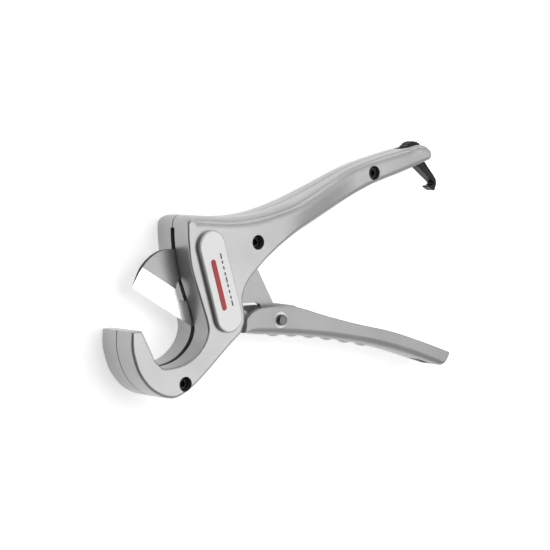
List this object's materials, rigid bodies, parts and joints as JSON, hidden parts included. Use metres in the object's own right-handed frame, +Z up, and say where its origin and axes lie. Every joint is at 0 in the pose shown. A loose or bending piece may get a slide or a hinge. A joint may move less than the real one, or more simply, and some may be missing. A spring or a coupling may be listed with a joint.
{
  "type": "plastic pipe cutter",
  "caption": "Hand cutter for plastic pipe: clamshell body with a hooked jaw, a lever that swings a knife blade into it, and a flip-over latch at the handle end.",
  "frame": {"origin": "centre of the outline on the plane the tool lies on, which is the back half's flat face", "axes": "+X along the tool from the jaw to the handle ends, +Y from the lever towards the upper handle, +Z up through the tool's thickness, towards the label"},
  "size_m": [0.2076, 0.1257, 0.0284],
  "materials": {
    "body_alloy": "die-cast, satin silver paint",
    "lever_alloy": "die-cast, satin silver paint",
    "blade_steel": "brushed flat with a ground bevel",
    "pin_steel": "turned",
    "blackened_steel": "black oxide",
    "spring_steel": "drawn wire",
    "label": "printed film"
  },
  "bodies": {
    "body": {"body_half_front": "body_alloy", "body_half_back": "body_alloy", "lever_pivot_pin": "pin_steel", "pivot_sleeve": "pin_steel", "thrust_washer": "pin_steel", "opening_spring": "spring_steel", "guide_pin": "pin_steel", "guide_bushing": "pin_steel", "body_screw_1": "blackened_steel", "body_screw_2": "blackened_steel", "body_screw_3": "blackened_steel", "body_nut_1": "blackened_steel", "body_nut_2": "blackened_steel", "body_nut_3": "blackened_steel", "latch_pin": "pin_steel", "latch_spring": "spring_steel", "dowel_pin_1": "pin_steel", "dowel_pin_2": "pin_steel", "label_plate": "label"},
    "lever": {"lower_handle": "lever_alloy", "blade_pin": "pin_steel", "blade_pin_clip": "spring_steel", "blade_spacer_front": "pin_steel", "blade_spacer_back": "pin_steel"},
    "blade": {"blade": "blade_steel"},
    "latch": {"latch_hook": "blackened_steel"}
  },
  "joints": [
    {"name": "lever_pivot", "type": "hinge", "parent": "body", "child": "lever", "pos_m": [-0.0454, -0.02615, 0.013], "axis": [0, 0, 1], "range_deg": [-16.5, 39], "stiffness_Nm_per_rad": 0.8, "deforming": ["opening_spring"]},
    {"name": "blade_link", "type": "hinge", "parent": "lever", "child": "blade", "pos_m": [-0.0115, -0.02745, 0.013], "axis": [0, 0, 1], "range_deg": [-2.7, 6.4]},
    {"name": "latch_pivot", "type": "hinge", "parent": "body", "child": "latch", "pos_m": [0.0808, 0.05595, 0.013], "axis": [0, 0, 1], "range_deg": [-57, 5], "stiffness_Nm_per_rad": 0.03, "deforming": ["latch_spring"]}
  ],
  "couplings": [
    {"joint": "blade_link", "follows": "lever_pivot", "ratio": 0.16}
  ]
}
